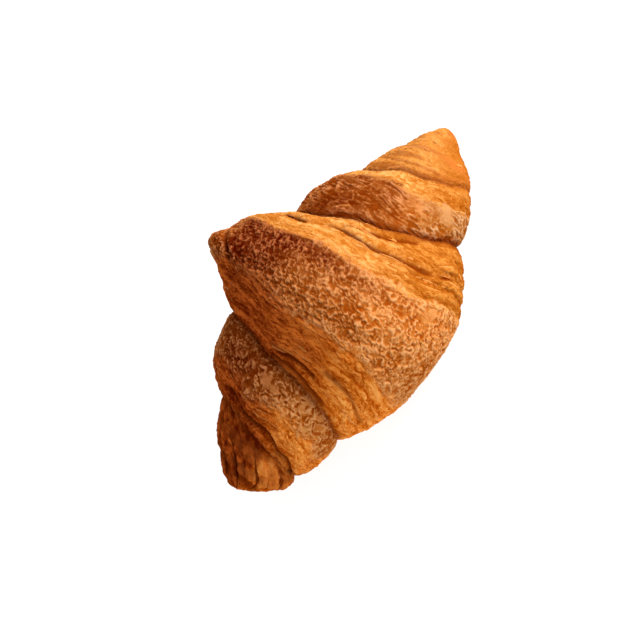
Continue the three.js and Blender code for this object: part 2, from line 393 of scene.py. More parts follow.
class Roll:
    """The roll's radius on a grid of places and angles, with what the finish needs to know there."""

    def __init__(self, along, angle):
        self.along, self.angle = along, angle
        self.side = 0.5 + 0.5 * np.tanh(along / SIDE_BLEND)
        self.out = np.hypot(along, MIDDLE_ROUNDING) - MIDDLE_ROUNDING
        self.cut = np.zeros_like(along)  # 1 on a cut face, 0 on crust
        self.depth = np.zeros_like(along)  # out from the crust's edge
        self.round = np.zeros_like(along)  # along the crust's edge
        self.crease = np.zeros_like(along)  # 1 at the foot of a cut face
        self.lip = np.zeros_like(along)  # 1 just before the crust's edge
        self.strip = np.zeros_like(along)  # the turn of the crust that shows
        self.mottle = mottle(along, angle) * mixed(MOTTLE_REACH, self.side)
        self.mottle = self.mottle + bump_at(along, angle, *KNOB_CRUST)
        self.radius = core_radius(along, self.side) + swellings(along, angle)
        self.radius = self.radius + lumps(along, angle) + petals(along, angle)
        foot = np.zeros_like(along)
        for layer in range(TURNS):
            foot = self.wrap(layer, foot)
        self.fan = fan_share(along, angle)
        across = (angle / TURN - PETAL_SLANT * along) * FAN_CIRCUMFERENCE
        self.round = np.where(self.fan > 0.5, -along, self.round)
        self.depth = np.where(self.fan > 0.5, across, self.depth)
        reached = np.clip(np.abs(along) / HALF_LENGTH, 0, 1)
        self.cap = np.sqrt(1 - reached ** mixed(TIP_BLUNTNESS, self.side))
        self.radius = self.radius * self.cap

    def wrap(self, layer, foot):
        """Adds one layer of dough, and returns how far out it reaches with its cut face."""
        turn = self.angle / TURN - layer
        round_it = turn * ROUND_LENGTH
        ragged = sum(on_line(round_it / length, seed) / part for length, part, seed in RAGGED_WAVES)
        edge = crust_edge(turn, self.side)
        width = cut_width(turn, self.side, edge)
        depth = self.out - edge
        share = np.clip(1 - np.maximum(edge, 0) / HALF_LENGTH, LAYER_LEAST, 1)
        self.radius = self.radius + LAYER * share * (1 - np.clip(depth / width, 0, 1) ** CUT_ROUNDNESS)
        self.radius = self.radius + share * folds(depth, width, turn)
        if layer:
            across = np.clip((self.out - foot) / np.maximum(edge - foot, 1), 0, 1)
            room = ease((edge - foot) / RUN_IN)
            self.radius = self.radius + PUFF * share ** 2 * room * np.sin(math.pi * across)
        from_crease = depth - width
        begun = ease((edge + RUN_IN) / RUN_IN)
        reach = np.where(from_crease < 0, CREASE_CUT_REACH, CREASE_CRUST_REACH)
        near = begun * np.exp(-np.abs(from_crease) / reach)
        slit = begun * np.exp(-np.abs(from_crease) / SLIT_REACH)
        slit = slit * mixed((np.sqrt(share), share ** 2), self.side)
        self.radius = self.radius - CREASE_DEPTH * share * near - SLIT_DEPTH * slit
        self.crease = np.maximum(self.crease, near * mixed((1, ease(share / CREASE_FADE)), self.side))
        torn = depth - mixed(RAGGED_HEIGHT, self.side) * ragged - self.mottle
        torn = torn + (mixed(CUT_START, self.side) if layer else 0)
        started = ease((torn / mixed(EDGE_BLUR, self.side) + 1) / 2)
        self.cut = np.maximum(self.cut, started * ease((CUT_END - from_crease) / CUT_END_BLEND))
        rising = np.exp(np.minimum(torn, 0) / LIP_WIDTH) * ease((LIP_END - torn) / LIP_END)
        self.lip = np.maximum(self.lip, rising * share)
        here = self.out > foot
        self.strip = np.where(here, turn, self.strip)
        self.depth = np.where(here, depth, self.depth)
        self.round = np.where(here, round_it, self.round)
        return np.maximum(edge + width, 0)


def press_flat(height):
    """Presses what is below the floor flat onto it, with a rounded rim."""
    rim = (height + BASE_ROUNDING) ** 2 / (4 * BASE_ROUNDING)
    return np.where(height > BASE_ROUNDING, height, np.where(height < -BASE_ROUNDING, 0, rim))


def placed(roll):
    """The points of the surface, in millimetres, before the fine relief."""
    along, angle = roll.along, roll.angle
    share, end = np.abs(along) / HALF_LENGTH, np.sign(along)
    bow = mixed(BOW, roll.side)
    slope = end * bow * BOW_POWER * share ** (BOW_POWER - 1) / HALF_LENGTH
    square_on = 1 / np.hypot(1, slope)
    low = LOW_RADIUS - LOW_SLOPE * (np.hypot(along, LOW_ROUNDING) - LOW_ROUNDING)
    axis_height = HEIGHT_RATIO * low - SINK * (1 - share ** SINK_POWER)
    axis_height = axis_height + TIP_LIFT * share ** TIP_LIFT_POWER
    outward = -DEPTH_RATIO * roll.radius * np.sin(angle)
    upward = -HEIGHT_RATIO * roll.radius * np.cos(angle)
    lean = end * TIP_LEAN * share ** TIP_LEAN_POWER * upward
    x = along - outward * slope * square_on + lean
    y = bow * share ** BOW_POWER + outward * square_on
    return np.stack([x, y, press_flat(axis_height + upward)], -1)


def middle_of(points):
    """The middle of the roll's own box, on the floor."""
    middle = (points.min((0, 1)) + points.max((0, 1))) / 2
    return np.array((middle[0], middle[1], 0))


def grid_normals(points):
    """Outward normals of a grid that closes on itself round the roll."""
    lengthwise = np.gradient(points, axis=0)
    roundwise = np.roll(points, -1, 1) - np.roll(points, 1, 1)
    normal = np.cross(lengthwise, roundwise)
    return normal / np.maximum(np.linalg.norm(normal, axis=-1, keepdims=True), 1e-9)


def sheets(roll, wander):
    """The stacked sheets of dough on a cut face: each ends in a raised lip with a drop after it."""
    total = np.zeros_like(roll.depth)
    for seed, (thickness, height) in enumerate(SHEETS):
        place = [roll.round / SHEET_WAVE_LENGTH, roll.depth / SHEET_WAVE_DEPTH, SHEET_SLIDE * roll.along]
        wave = SHEET_WAVE * rough(np.stack(place, -1), 50 + 4 * seed, 2)
        phase = (roll.depth + wander) / thickness + wave
        part = phase - np.floor(phase)
        rising = part ** SHEET_ROUNDNESS * ease((1 - part) / SHEET_DROP)
        total = total + height * (rising - SHEET_MIDDLE)
    return total


def streaks(roll, points):
    """Thin broken ridges and crumbs of a cut face, one height for each point."""
    wander = STREAK_WANDER * on_line(roll.round / STREAK_WANDER_LENGTH, 11)
    wander = wander + CURL_REACH * noise(points / CURL_SIZE, 74)
    total = sheets(roll, wander)
    slide = STREAK_SLIDE * roll.along
    for seed, (length, width, height) in enumerate(STREAKS):
        place = np.stack([roll.round / length, (roll.depth + wander) / width, slide], -1)
        total = total + height * noise(place, 20 + seed)
    length, width, height = FAN_RIDGES
    level = np.full_like(roll.depth, FAN_RIDGE_PLANE)
    place = np.stack([roll.round / length, roll.depth / width, level], -1)
    total = total * (1 - FAN_STREAKS * roll.fan) + height * roll.fan * noise(place, 73)
    torn = ease(FAN_STEP_EDGE * noise(points / np.array(FAN_STEP_SIZE), 75) + 0.5) - 0.5
    total = total + FAN_STEP_HEIGHT * roll.fan * torn
    return total + CRUMB_HEIGHT * noise(points / CRUMB_SIZE, 29)


def fold_lines(roll):
    """The long grooves of the cut faces: what they take away, and where they get painted shade, 1 along the
    middle of each.
    """
    turn = roll.round / ROUND_LENGTH
    height, dark = np.zeros_like(turn), np.zeros_like(turn)
    for seed, (half, turn_start, depth_start, turn_end, depth_end, drop, width) in enumerate(FOLD_LINES):
        share = (turn - turn_start) / (turn_end - turn_start)
        shown = ease(share / FOLD_LINE_END) * ease((1 - share) / FOLD_LINE_END)
        shown = shown * (roll.side if half else 1 - roll.side)
        if half:
            breaks = FOLD_LINE_BREAKS * on_line(roll.round / FOLD_LINE_BREAK_LENGTH, 64 + seed)
            shown = shown * ease(breaks + FOLD_LINE_WHOLE)
        line = depth_start + (depth_end - depth_start) * share
        line = line + FOLD_LINE_SWAY * on_line(roll.round / FOLD_LINE_SWAY_LENGTH, 60 + seed)
        off = (roll.depth - line) / width
        groove = shown * np.exp(-off * off)
        bank = shown * np.exp(-((off - BANK_PLACE) / BANK_WIDTH) ** 2)
        height = height + drop * (BANK_HEIGHT * bank - groove)
        # painted shade along the groove, weaker on the wider fold lines
        dark = np.maximum(dark, groove * min(1, SHARP_FOLD / width))
    return height, dark


def nose_gap(roll):
    """The gap between the knob and the rest of the crust above the middle."""
    start, end, turn, bend, spread, depth = NOSE_GAP
    share = (roll.along - start) / (end - start)
    line = turn + bend * np.clip(share, 0, 1) ** 2
    shown = ease(share / NOSE_GAP_END) * ease((1 - share) / NOSE_GAP_END)
    groove = shown * np.exp(-((roll.angle / TURN - line) / spread) ** 2)
    return -depth * groove, groove


def petal_valleys(roll):
    """1 along the grooves between the left tip's folds, and less along the small ones on them."""
    shown = ease((-roll.along - PETAL_START) / PETAL_RISE)
    place = math.pi * petal_place(roll.along, roll.angle)
    main = (1 - np.abs(np.sin(place))) ** PETAL_GROOVE_EDGE
    place = place + SMALL_PETAL_SWAY * np.sin(roll.along / SMALL_PETAL_SWAY_LENGTH)
    small = shown ** 2 * (1 - np.abs(np.cos(place))) ** SMALL_PETAL_GROOVE_EDGE
    return shown * np.maximum(main, SMALL_PETAL_GROOVE * small)


def bare_patches(roll):
    """1 where the crust is smooth, without wrinkles."""
    bare = np.zeros_like(roll.along)
    for at, length, turn, spread in BARE_PATCHES:
        off = ((roll.along - at) / length) ** 2 + ((roll.angle / TURN - turn) / spread) ** 2
        bare = np.maximum(bare, ease((BARE_EDGE - off + BARE_RAGGED * roll.mottle) / BARE_BLEND))
    return bare


def browning(roll):
    """How far each place is browned: most on top, by the knob and towards the left tip."""
    facing_up = -np.cos(roll.angle)
    left = ease((-roll.along - LEFT_START) / LEFT_BLEND)
    top = ease((facing_up + TOP_REACH) / TOP_BLEND) ** TOP_POWER
    browned = top * (TOP_BROWNING + LEFT_BROWNING * left)
    for place in BROWNED_PLACES:
        browned = browned + bump_at(roll.along, roll.angle, *place)
    more, at, width, start, blend = EDGE_BROWNING
    strip = np.exp(-((roll.depth - at) / width) ** 2) * ease((roll.strip - start) / blend)
    browned = browned + more * roll.side * strip
    more, at, blend = DEEP_CUT
    browned = browned + more * roll.side * roll.cut * ease((roll.depth - at) / blend)
    return browned + TIP_BROWNING * ease((-roll.along - TIP_START) / TIP_BLEND)


def crust_film(roll, points, browned, outer):
    """The crust's thin pale skin: 1 where it lies, 1 along its ragged edges, 1 on fine wrinkles."""
    warp = np.stack([noise(points / FILM_WARP_SIZE, seed) for seed in (31, 32, 33)], -1)
    field = noise(points / FILM_SIZE + FILM_WARP * warp, 34)
    field = field + FILM_DETAIL * noise(2 * points / FILM_SIZE + FILM_WARP * warp, 35)
    along_it = roll.round / LAID_LENGTH
    across = (roll.depth + LAID_SLANT * roll.round) / LAID_WIDTH
    laid = noise(np.stack([along_it, across, np.full_like(across, LAID_PLANE)], -1), 71)
    field = field + LAID_SHARE * outer * (laid - field)
    slow = FILM_SLOW * noise(points / FILM_SLOW_SIZE, 36)
    field = field + FILM_SHARE - FILM_BROWNED * browned + slow
    film = ease(field / FILM_STEP + 0.5)
    # the skin's ragged edges, which get a little height and a painted highlight
    rim = np.exp(-((field - RIM_PLACE) / FILM_STEP * 2) ** 2)
    curl = np.abs(noise(points / CURL_LINE_SIZE + CURL_LINE_WARP * warp, 33))
    curl = np.abs(curl + LAID_SHARE * outer * (np.abs(laid) - curl))
    return film, rim, np.clip(1 - curl / CURL_LINE_WIDTH, 0, 1)


def fine_relief(roll, points):
    """The height of the fine relief, and the values that the crust's material reads."""
    outer_turns = ease(-roll.strip / OUTER_BLEND)
    outer = outer_turns * roll.side
    browned = browning(roll)
    bare = bare_patches(roll)
    film, rim, curl = crust_film(roll, points, browned, outer)
    film, rim = np.maximum(film, bare), rim * (1 - bare)
    blister = noise(points / BLISTER_SIZE, 38)
    skin = np.maximum(ease((TIP_SKIN_TURN - roll.strip) / TIP_SKIN_BLEND), roll.fan)
    curl = curl * (1 - (1 - BARE_CURL) * bare)
    curl_height = CURL_LINE_HEIGHT * (1 - (1 - LAID_CURL) * outer) * (curl - CURL_LINE_MIDDLE)
    crust = FILM_HEIGHT * (film - FILM_MIDDLE) + RIM_HEIGHT * rim + curl_height
    crust = BLISTER_HEIGHT * blister + crust * (1 - skin)
    lip_share = LIP_LEAST + LIP_CHANGE * on_line(roll.round / LIP_LENGTH, 37)
    crust = crust + LIP_HEIGHT * roll.lip * lip_share
    streak = streaks(roll, points) + CURL_ON_CUT * CURL_LINE_HEIGHT * curl * (1 - roll.side)
    bread = np.maximum(roll.cut, skin)
    valleys = petal_valleys(roll)
    fold_height, fold = fold_lines(roll)
    gap_height, gap = nose_gap(roll)
    height = crust * (1 - bread) + streak * bread + fold_height + gap_height
    height = height - PETAL_GROOVE * valleys
    # the grooves, where the material paints shade
    groove = np.maximum(np.maximum(fold, gap), valleys)
    values = {
        "cut": roll.cut, "crease": roll.crease, "side": roll.side, "skin": skin, "streak": streak,
        "film": film + BARE_PALENESS * bare, "rim": rim, "curl": curl, "groove": groove,
        "browned": browned, "lip": roll.lip, "fan": roll.fan, "outer": outer,
        "left_outer": outer_turns * (1 - roll.side),
        "calm": ease((roll.along - CALM_START) / CALM_BLEND),
    }
    return height, values


def croissant_mesh(name):
    even = np.linspace(-1, 1, LENGTH_STEPS + 1)
    crowded = np.sin(even * math.pi / 2)
    along = HALF_LENGTH * (even + (crowded - even) * TIP_CROWDING)
    angle = np.arange(ROUND_STEPS) / ROUND_STEPS * TURN
    roll = Roll(*np.meshgrid(along, angle, indexing="ij"))
    points = placed(roll)
    middle = middle_of(points)
    points = points - middle
    relief, values = fine_relief(roll, points)
    lying = ease(points[..., 2] / LYING_BLEND)
    points = points + grid_normals(points) * (relief * roll.cap * lying)[..., None]
    points[..., 2] = np.maximum(points[..., 2], 0)
    rings = points[1:-1].reshape(-1, 3)
    verts = np.concatenate([points[0, :1], rings, points[-1, :1]]) * MM
    mesh = bpy.data.meshes.new(name)
    mesh.from_pydata(verts.tolist(), [], grid_faces(LENGTH_STEPS - 1, ROUND_STEPS))
    mesh.polygons.foreach_set("use_smooth", [True] * len(mesh.polygons))
    for key, value in values.items():
        add_value(mesh, key, at_vertices(value).astype(np.float32))
    add_place(mesh, "roll_place", roll)
    return mesh, middle


def grid_faces(rings, count):
    """Quads between the rings, and a fan of triangles at each tip."""
    first, last = 0, rings * count + 1
    faces = []
    for j in range(count):
        k = (j + 1) % count
        faces.append((first, 1 + j, 1 + k))
        top = 1 + (rings - 1) * count
        faces.append((last, top + k, top + j))
    ring = np.arange(rings - 1)[:, None] * count + 1
    j = np.arange(count)[None, :]
    k = (j + 1) % count
    quads = np.stack([ring + j, ring + count + j, ring + count + k, ring + k], -1)
    return faces + quads.reshape(-1, 4).tolist()


def at_vertices(values):
    """The values of a grid as the mesh has them: one at each tip, where a whole ring meets."""
    return np.concatenate([values[0, :1], values[1:-1].reshape(-1, *values.shape[2:]), values[-1, :1]])


def add_value(mesh, name, values):
    layer = mesh.attributes.new(name, "FLOAT", "POINT")
    layer.data.foreach_set("value", values)


def add_place(mesh, name, roll):
    """The place along the crust's edge, out from it and along the roll."""
    layer = mesh.attributes.new(name, "FLOAT_VECTOR", "POINT")
    place = np.stack([roll.round, roll.depth, roll.along], -1)
    layer.data.foreach_set("vector", at_vertices(place).astype(np.float32).ravel())


class Nodes:
    """A short way to write a material's nodes."""

    def __init__(self, name):
        self.material = bpy.data.materials.new(name)
        self.material.use_nodes = True
        self.tree = self.material.node_tree
        self.shader = self.tree.nodes["Principled BSDF"]

    def put(self, socket, value):
        if isinstance(value, bpy.types.NodeSocket):
            self.tree.links.new(value, socket)
        else:
            socket.default_value = value

    def value(self, name, output="Fac"):
        """What the mesh stores under this name."""
        node = self.tree.nodes.new("ShaderNodeAttribute")
        node.attribute_name = name
        return node.outputs[output]

    def math(self, operation, a, b=0.0, c=0.0, clamp=False):
        node = self.tree.nodes.new("ShaderNodeMath")
        node.operation = operation
        node.use_clamp = clamp
        for socket, value in zip(node.inputs, (a, b, c)):
            self.put(socket, value)
        return node.outputs[0]

    def ramp(self, value, low, high, to_low=0.0, to_high=1.0):
        """Goes smoothly from to_low to to_high where the value goes from low to high."""
        node = self.tree.nodes.new("ShaderNodeMapRange")
        node.interpolation_type = "SMOOTHSTEP"
        for key, part in (
            ("Value", value), ("From Min", low), ("From Max", high), ("To Min", to_low), ("To Max", to_high),
        ):
            self.put(node.inputs[key], part)
        return node.outputs["Result"]

    def mix(self, share, a, b, mode="MIX", kind="RGBA", suffix="Color"):
        """The colour a where the share is 0, and b where it is 1."""
        node = self.tree.nodes.new("ShaderNodeMix")
        node.data_type = kind
        node.blend_type = mode
        for key, part in (("Factor_Float", share), ("A_" + suffix, a), ("B_" + suffix, b)):
            socket = next(s for s in node.inputs if s.identifier == key)
            self.put(socket, part)
        return next(s for s in node.outputs if s.identifier == "Result_" + suffix)

    def blend(self, share, a, b):
        """The same for two numbers."""
        return self.mix(share, a, b, kind="FLOAT", suffix="Float")

    def noise(self, vector, scale, detail=2.0, rough=0.5):
        node = self.tree.nodes.new("ShaderNodeTexNoise")
        for key, part in (("Vector", vector), ("Scale", scale), ("Detail", detail), ("Roughness", rough)):
            self.put(node.inputs[key], part)
        return node.outputs["Fac"]

    def vector_math(self, operation, *values):
        node = self.tree.nodes.new("ShaderNodeVectorMath")
        node.operation = operation
        for socket, value in zip(node.inputs, values):
            self.put(socket, value)
        return node.outputs[0]

    def bent(self, vector, place, scale, reach):
        """The vector pushed about by a noise, which bends what is drawn with it."""
        noise = self.tree.nodes.new("ShaderNodeTexNoise")
        for key, part in (("Vector", place), ("Scale", scale), ("Detail", 2.0)):
            self.put(noise.inputs[key], part)
        return self.vector_math("MULTIPLY_ADD", noise.outputs["Color"], (reach, reach, reach), vector)

    def stretched(self, vector, size):
        """The vector for a noise whose features have this size along each axis."""
        return self.vector_math("DIVIDE", vector, size)

    def shade(self, browned, pale, baked):
        """The first colour where the browning is 0, and the second where it is 1."""
        return self.mix(browned, linear(*pale), linear(*baked))

    def object_place(self):
        """The place on the object in millimetres."""
        coords = self.tree.nodes.new("ShaderNodeTexCoord")
        return self.stretched(coords.outputs["Object"], (MM, MM, MM))


def linear(red, green, blue):
    """A colour as it looks on screen, from 0 to 255, in the shader's numbers, by the sRGB curve."""
    def one(part):
        part = part / 255
        return part / 12.92 if part <= 0.04045 else ((part + 0.055) / 1.055) ** 2.4
    return (one(red), one(green), one(blue), 1.0)


def raised_share(n, place, browned):
    """How far a place on the crust is raised: on the thin skin and on the wrinkles."""
    line = n.math("ABSOLUTE", n.math("SUBTRACT", n.noise(place, scale=0.75, detail=1.0), 0.5))
    small = n.ramp(line, low=0.1, high=0.0)
    slow = n.math("SUBTRACT", n.noise(place, scale=0.13), 0.5)
    film_weight = n.ramp(browned, low=0.0, high=0.5, to_low=0.3, to_high=0.2)
    raised = n.math("MULTIPLY", n.value("film"), film_weight)
    raised = n.math("MULTIPLY_ADD", small, SMALL_WEIGHT, raised)
    raised = n.math("MULTIPLY_ADD", slow, SLOW_WEIGHT, raised)
    raised = n.math("MULTIPLY_ADD", n.value("curl"), CURL_WEIGHT, raised)
    more_contrast = n.math("MULTIPLY", n.value("left_outer"), LEFT_FILM_WEIGHT)
    return n.math("MULTIPLY_ADD", n.math("SUBTRACT", n.value("film"), 0.5), more_contrast, raised)


def wrinkled_crust(n, place, browned):
    """The crust's colour, tan on its wrinkles and brown between them, and its height for the bump."""
    raised = raised_share(n, place, browned)
    warm = n.ramp(n.noise(place, scale=0.3), low=0.45, high=0.7, to_high=0.6)
    dark = n.mix(warm, n.shade(browned, *CRUST_DARK), n.shade(browned, *CRUST_WARM))
    crust = n.mix(n.ramp(raised, low=0.0, high=0.34), dark, n.shade(browned, *CRUST_MIDDLE))
    crust = n.mix(n.ramp(raised, low=0.26, high=0.68), crust, n.shade(browned, *CRUST_TAN))
    # painted highlight on the skin's rims where they lie on the fine wrinkles
    rim_highlight = n.math("MULTIPLY", n.value("rim"), n.value("curl"))
    crust = n.mix(n.math("MULTIPLY", rim_highlight, 0.8), crust, n.shade(browned, *CRUST_RIM_HIGHLIGHT))
    # the crust's raised edge: partly its paler flaking skin, partly a painted highlight
    broken = n.ramp(n.noise(place, scale=0.7), low=0.42, high=0.58, to_low=0.15, to_high=0.95)
    edge = n.math("MULTIPLY", n.value("lip"), broken)
    crust = n.mix(edge, crust, n.shade(browned, *CRUST_EDGE_PALE_AND_HIGHLIGHT))
    pale = n.ramp(browned, low=0.12, high=0.45, to_low=1.0, to_high=0.0)
    beige = n.math("MULTIPLY", n.value("outer"), pale)
    return n.mix(beige, crust, BEIGE_TINT, mode="MULTIPLY"), n.ramp(raised, low=0.0, high=0.75)


def cut_tone(n, place, roll, thread, crumb):
    """How light a place on a cut face is: bands and threads along the layers, and blotches on the
    fan of the left tip."""
    band = n.noise(n.stretched(roll, BAND_SIZE), scale=1.0)
    tone = n.math("MULTIPLY_ADD", band, BAND_WEIGHT, n.math("MULTIPLY", thread, THREAD_WEIGHT))
    tone = n.math("MULTIPLY_ADD", crumb, CRUMB_WEIGHT, tone)
    # painted light and shade: lighter where the cut face's relief is raised, darker in its hollows
    tone = n.math("MULTIPLY_ADD", n.value("streak"), STREAK_SHADING_WEIGHT, tone)
    coarse = n.noise(place, scale=0.35, detail=3.0, rough=0.6)
    blotch = n.math("MULTIPLY_ADD", coarse, 0.8, n.math("MULTIPLY", crumb, 0.2))
    return n.blend(n.math("MULTIPLY", n.value("fan"), 0.6), tone, blotch)


def cut_layers(n, place, roll, browned):
    """The colour of the cut faces, gold or browned, and their height for the bump."""
    bent = n.bent(roll, place, scale=0.45, reach=3.0)
    thread = n.noise(n.stretched(bent, THREAD_SIZE), scale=1.0, detail=3.0, rough=0.65)
    crumb = n.noise(place, scale=0.8, detail=3.0, rough=0.6)
    tone = cut_tone(n, place, roll, thread, crumb)
    left = n.math("MULTIPLY", browned, LEFT_CUT_BROWNING, clamp=True)
    right = n.math("MULTIPLY", browned, RIGHT_CUT_BROWNING, clamp=True)
    dark, middle, light = (
        n.mix(n.value("side"), n.shade(left, *left_pair), n.shade(right, *right_pair))
        for left_pair, right_pair in (
            (LEFT_CUT_DARK, RIGHT_CUT_DARK),
            (LEFT_CUT_MIDDLE, RIGHT_CUT_MIDDLE),
            (LEFT_CUT_LIGHT, RIGHT_CUT_LIGHT),
        )
    )
    gold = n.mix(n.ramp(tone, low=0.4, high=0.51), dark, middle)
    gold = n.mix(n.ramp(tone, low=0.49, high=0.61), gold, light)
    dash = n.noise(n.stretched(bent, DASH_SIZE), scale=1.0)
    off_fan = n.ramp(n.value("fan"), low=0.0, high=1.0, to_low=1.0, to_high=0.2)
    dashes = n.math("MULTIPLY", n.ramp(dash, low=0.58, high=0.7, to_high=0.8), off_fan)
    gold = n.mix(dashes, gold, dark)
    gold = n.mix(n.math("MULTIPLY", n.value("calm"), 0.6), gold, middle)
    half_browned = n.math("MULTIPLY", n.math("MULTIPLY", left, left), n.math("SUBTRACT", 1.0, left))
    red = n.math("MULTIPLY", half_browned, n.math("SUBTRACT", 1.0, n.value("side")))
    gold = n.mix(n.math("MULTIPLY", red, RED_TINT_REACH), gold, RED_TINT, mode="MULTIPLY")
    return gold, n.blend(0.4, thread, crumb)


def striped_with_painted_shade(n, roll, colour, browned):
    """The colour with the stripes of the left tip, and painted shade: darker in the creases and grooves."""
    stripe = n.noise(n.stretched(roll, STRIPE_SIZE), scale=1.0, detail=1.0)
    striped = n.math("MULTIPLY", n.value("skin"), n.ramp(stripe, low=0.5, high=0.6, to_high=0.6))
    colour = n.mix(striped, colour, n.shade(browned, *TIP_STRIPE))
    # painted shade: the creases and grooves darken towards this colour
    deep = n.shade(browned, *CREASE_SHADE_COLOUR)
    # painted shade at the foot of each cut face, weaker on the left half
    crease_shade_weight = n.blend(n.value("side"), 0.5, 0.85)
    crease_shade = n.math("MULTIPLY", n.ramp(n.value("crease"), low=0.45, high=0.95), crease_shade_weight)
    colour = n.mix(crease_shade, colour, deep)
    # painted shade along the grooves: the fold lines, the nose gap and the left tip's petal valleys
    return n.mix(n.ramp(n.value("groove"), low=0.25, high=0.9, to_high=0.9), colour, deep)


def crust_material():
    n = Nodes("baked_crust_finish")
    place = n.object_place()
    roll = n.value("roll_place", "Vector")
    uneven = n.math("SUBTRACT", n.noise(place, scale=0.09), 0.5)
    browned = n.math("MULTIPLY_ADD", uneven, UNEVEN_BROWNING, n.value("browned"), clamp=True)
    crust, crust_height = wrinkled_crust(n, place, browned)
    gold, gold_height = cut_layers(n, place, roll, browned)
    cut = n.math("MAXIMUM", n.value("cut"), n.value("skin"))
    colour = striped_with_painted_shade(n, roll, n.mix(cut, crust, gold), browned)
    n.put(n.shader.inputs["Base Color"], colour)
    fine = n.noise(place, scale=2.2, detail=3.0, rough=0.65)
    n.put(n.shader.inputs["Roughness"], n.ramp(fine, low=0.3, high=0.7, to_low=0.4, to_high=0.62))
    n.shader.inputs["Specular IOR Level"].default_value = 0.0
    bump = n.tree.nodes.new("ShaderNodeBump")
    bump.inputs["Strength"].default_value = BUMP_STRENGTH
    bump.inputs["Distance"].default_value = BUMP_HEIGHT * MM
    grain = n.math("MULTIPLY_ADD", fine, BUMP_GRAIN, crust_height)
    n.put(bump.inputs["Height"], n.blend(cut, grain, gold_height))
    n.put(n.shader.inputs["Normal"], bump.outputs["Normal"])
    return n.material


def made(mesh, name, material):
    piece = bpy.data.objects.new(name, mesh)
    bpy.context.scene.collection.objects.link(piece)
    mesh.materials.append(material)
    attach(piece, "root")
    return piece


def make_croissant():
    mesh, middle = croissant_mesh("croissant_crust")
    piece = made(mesh, "croissant_crust", crust_material())
    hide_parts("croissant")
    return middle


def surface(along, angle):
    """The roll there, its points and its outward normals."""
    roll = Roll(along, angle)
    points = placed(roll)
    lengthwise = placed(Roll(along + NORMAL_STEP, angle)) - points
    roundwise = placed(Roll(along, angle + NORMAL_STEP / CORE_MIDDLE)) - points
    normal = np.cross(lengthwise, roundwise)
    return roll, points, normal / np.maximum(np.linalg.norm(normal, axis=-1, keepdims=True), 1e-9)


def flake_grids(half, count, shift, depths, lift, seed):
    """Places and angles of a row of flakes, each a small grid, and how far each grid point lifts."""
    dice = np.random.default_rng(seed)
    one = np.ones((count, 1, 1))
    turn = one * dice.uniform(*FLAKE_TURNS, (count, 1, 1))
    depth = one * dice.uniform(*depths, (count, 1, 1))
    length = one * dice.uniform(*FLAKE_LENGTH, (count, 1, 1))
    width = one * dice.uniform(*FLAKE_WIDTH, (count, 1, 1))
    across = np.linspace(-1, 1, FLAKE_STEPS[0])[None, :, None]
    out = np.linspace(0, 1, FLAKE_STEPS[1])[None, None, :]
    place = np.broadcast_arrays(FLAKE_RAGGED_COUNT * across, FLAKE_RAGGED_TURN * turn, depth)
    least, change = FLAKE_RAGGED
    ragged = least + change * noise(np.stack(place, -1), 80)
    outline = np.sqrt(1 - FLAKE_POINT * across ** 2) * ragged
    turns = turn + across * length / ROUND_LENGTH + 0 * out
    place = crust_edge(turns, half) + depth + width * (out * outline - shift)
    place = np.maximum(place, FLAKE_NEAREST)
    along = (1 if half else -1) * np.sqrt((place + MIDDLE_ROUNDING) ** 2 - MIDDLE_ROUNDING ** 2)
    angle = (turns - np.floor(turn)) * TURN
    rise = FLAKE_SINK + lift * (out * outline) ** FLAKE_CURVE
    return along, angle, rise


def flake_mesh(name, middle):
    mesh = bpy.data.meshes.new(name)
    verts, faces, browned, sides, free = [], [], [], [], []
    for seed, row in enumerate(FLAKE_ROWS):
        along, angle, rise = flake_grids(*row, seed)
        roll, points, normal = surface(along, angle)
        relief, values = fine_relief(roll, points - middle)
        level = (relief * roll.cap).mean((1, 2), keepdims=True)
        top = points - middle + normal * (level + rise)[..., None]
        for flake in range(len(along)):
            too_low = top[flake, ..., 2].min() < FLAKE_LOWEST
            if too_low or roll.fan[flake].max() > FLAKE_FAN_LIMIT:
                continue
            add_flake(verts, faces, top[flake], normal[flake])
            for key, numbers in (("browned", browned), ("side", sides)):
                share = values[key][flake].ravel().tolist()
                numbers.extend(share + share)
            edge = np.broadcast_to(np.linspace(0, 1, FLAKE_STEPS[1]), FLAKE_STEPS).ravel().tolist()
            free.extend(edge + edge)
    mesh.from_pydata((np.array(verts) * MM).tolist(), [], faces)
    outward = bmesh.new()
    outward.from_mesh(mesh)
    bmesh.ops.recalc_face_normals(outward, faces=outward.faces)
    outward.to_mesh(mesh)
    outward.free()
    mesh.polygons.foreach_set("use_smooth", [True] * len(mesh.polygons))
    for key, value in (("browned", browned), ("side", sides), ("free", free)):
        add_value(mesh, key, value)
    return mesh


def add_flake(verts, faces, top, normal):
    """One thin closed sheet: an upper grid, a lower grid and the rim between them."""
    wide, deep = FLAKE_STEPS
    start = len(verts)
    verts.extend(top.reshape(-1, 3).tolist())
    verts.extend((top - normal * FLAKE_THICKNESS).reshape(-1, 3).tolist())
    under = wide * deep
    for i in range(wide - 1):
        for j in range(deep - 1):
            a = start + i * deep + j
            faces.append((a, a + 1, a + deep + 1, a + deep))
            faces.append((a + under, a + under + deep, a + under + deep + 1, a + under + 1))
    rim = [i * deep for i in range(wide)]
    rim += [(wide - 1) * deep + j for j in range(1, deep)]
    rim += [i * deep + deep - 1 for i in range(wide - 2, -1, -1)]
    rim += list(range(deep - 2, 0, -1))
    for k, a in enumerate(rim):
        b = rim[(k + 1) % len(rim)]
        faces.append((start + a, start + b, start + b + under, start + a + under))


